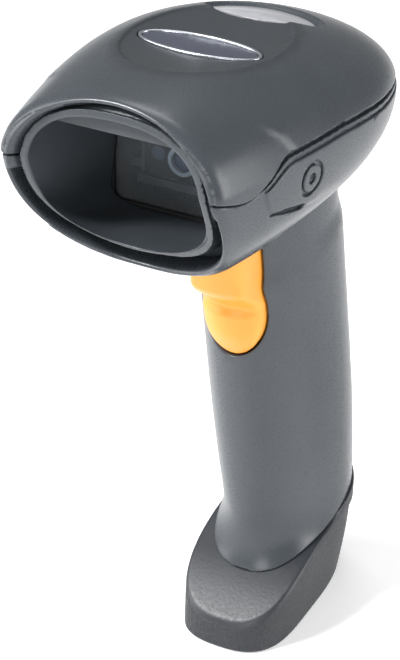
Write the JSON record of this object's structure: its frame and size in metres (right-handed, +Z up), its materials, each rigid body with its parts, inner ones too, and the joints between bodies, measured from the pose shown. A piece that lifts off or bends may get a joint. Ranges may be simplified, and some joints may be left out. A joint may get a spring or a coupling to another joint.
{
  "type": "handheld barcode scanner",
  "caption": "Pistol-grip handheld barcode scanner with an oval hollow nose, a domed head, a front trigger and a wedge foot that it stands on.",
  "frame": {"origin": "middle of the bounding box at the level that the foot stands on", "axes": "+Z up, the nose looks along -Y, X = 0 is the mirror plane"},
  "size_m": [0.0695, 0.1042, 0.1672],
  "materials": {
    "housing": "fine moulded texture",
    "dark_plastic": "smooth moulded",
    "boot": "fine texture above, coarse spark texture on the sides",
    "trigger_plastic": "satin moulded",
    "window": "polished",
    "optical_glass": "coated",
    "badge": "satin with a bright edge",
    "light_lens": "frosted",
    "clear_plastic": "clear",
    "steel": "plated",
    "spring_steel": "drawn wire",
    "circuit_board": "solder mask",
    "chip": "moulded",
    "connector": "moulded",
    "contact": "gold flash",
    "zinc": "die cast",
    "flex": "polyimide",
    "seal": "soft",
    "wire": "sheathed",
    "led": "moulded"
  },
  "bodies": {
    "scanner": {"top_cover": "housing", "main_housing": "housing", "nose_bezel": "dark_plastic", "window_gasket": "seal", "scan_window": "window", "badge_inlay": "badge", "status_lens": "light_lens", "light_pipe": "clear_plastic", "trigger_pin": "steel", "trigger_spring": "spring_steel", "trigger_switch": "chip", "optics_chassis": "zinc", "scan_engine": "chip", "lens_barrel": "dark_plastic", "camera_lens": "optical_glass", "aimer_lens": "optical_glass", "illumination_board": "circuit_board", "illumination_leds": "led", "led_lenses": "clear_plastic", "engine_flex": "flex", "main_board": "circuit_board", "board_chips": "chip", "board_connectors": "connector", "status_led": "led", "beeper": "chip", "beeper_gasket": "seal", "head_harness": "wire", "grip_board": "circuit_board", "grip_harness": "wire", "interface_board": "circuit_board", "interface_socket": "chip", "socket_contacts": "contact", "handle_foot": "boot", "foot_screw": "steel", "cover_screws": "steel", "board_screws": "steel", "chassis_screws": "steel"},
    "trigger": {"trigger": "trigger_plastic"},
    "switch_plunger": {"switch_plunger": "connector"}
  },
  "joints": [
    {"name": "trigger_pivot", "type": "hinge", "parent": "scanner", "child": "trigger", "pos_m": [0, 0.0075, 0.1185], "axis": [1, 0, 0], "range_deg": [0, 4.5], "stiffness_Nm_per_rad": 0.5, "springref_deg": -5.73, "deforming": ["trigger_spring"]},
    {"name": "switch_travel", "type": "slide", "parent": "scanner", "child": "switch_plunger", "axis": [0, 1, 0], "range_m": [0, 0.0018]}
  ],
  "couplings": [
    {"joint": "switch_travel", "follows": "trigger_pivot", "m_per_rad": 0.02}
  ]
}
